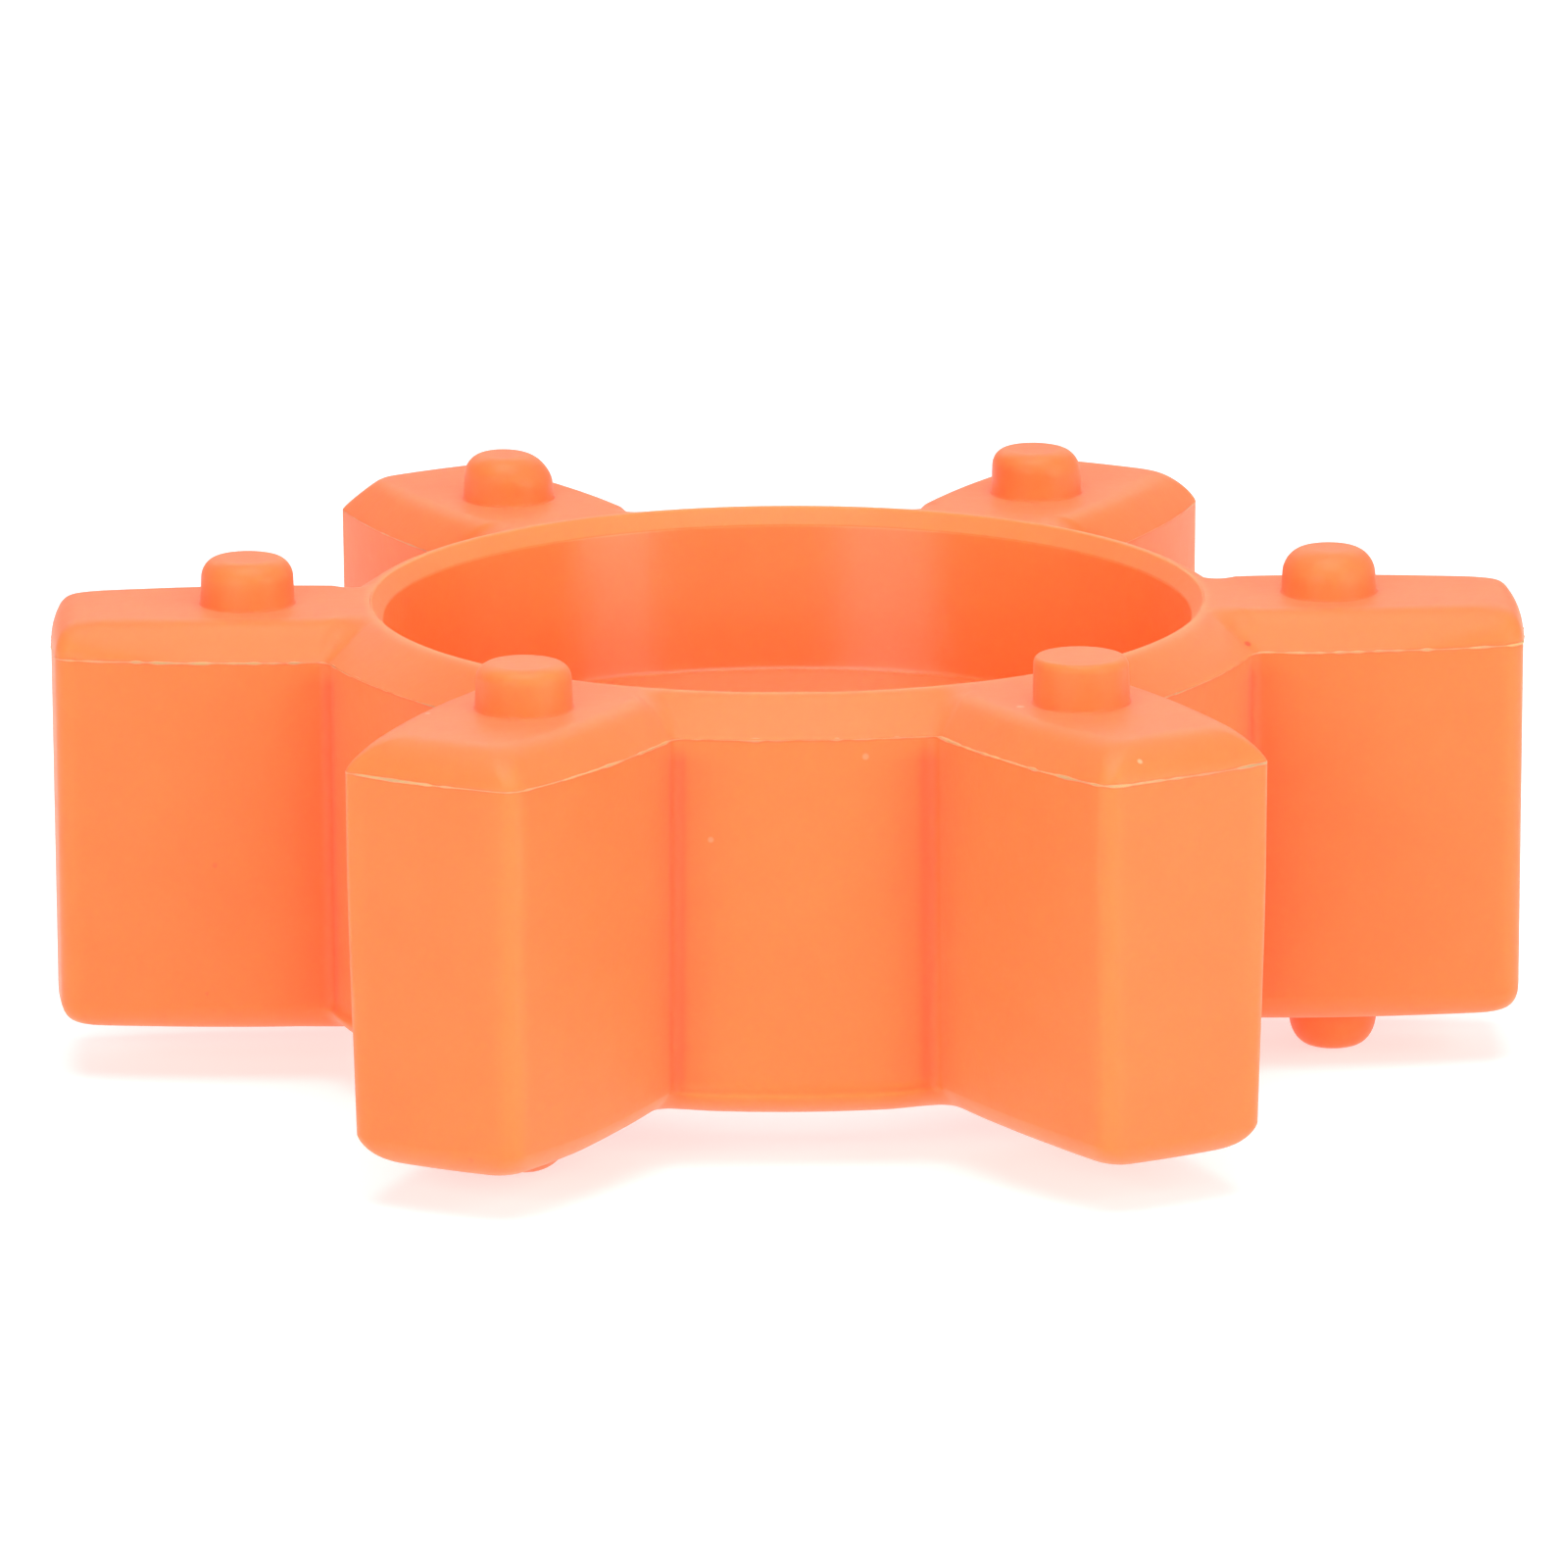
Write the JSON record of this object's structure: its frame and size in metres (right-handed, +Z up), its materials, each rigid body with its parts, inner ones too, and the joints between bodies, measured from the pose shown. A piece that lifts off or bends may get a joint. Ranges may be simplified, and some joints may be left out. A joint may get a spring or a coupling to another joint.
{
  "type": "jaw coupling spider",
  "caption": "Open-centre elastomer spider for a jaw coupling: a chamfered ring with an inner flange, radial legs that sit between the hub jaws, and round spacer nubs on the leg faces.",
  "frame": {"origin": "on the rotation axis, in the plane of the three lower nub tips that the part stands on", "axes": "+Z up along the rotation axis; +X along the middle of leg 0, which has a lower nub"},
  "size_m": [0.08, 0.0734, 0.0278],
  "materials": {
    "polyurethane": "satin, cast, faintly translucent"
  },
  "bodies": {
    "root": {"spider": "polyurethane"}
  },
  "joints": []
}
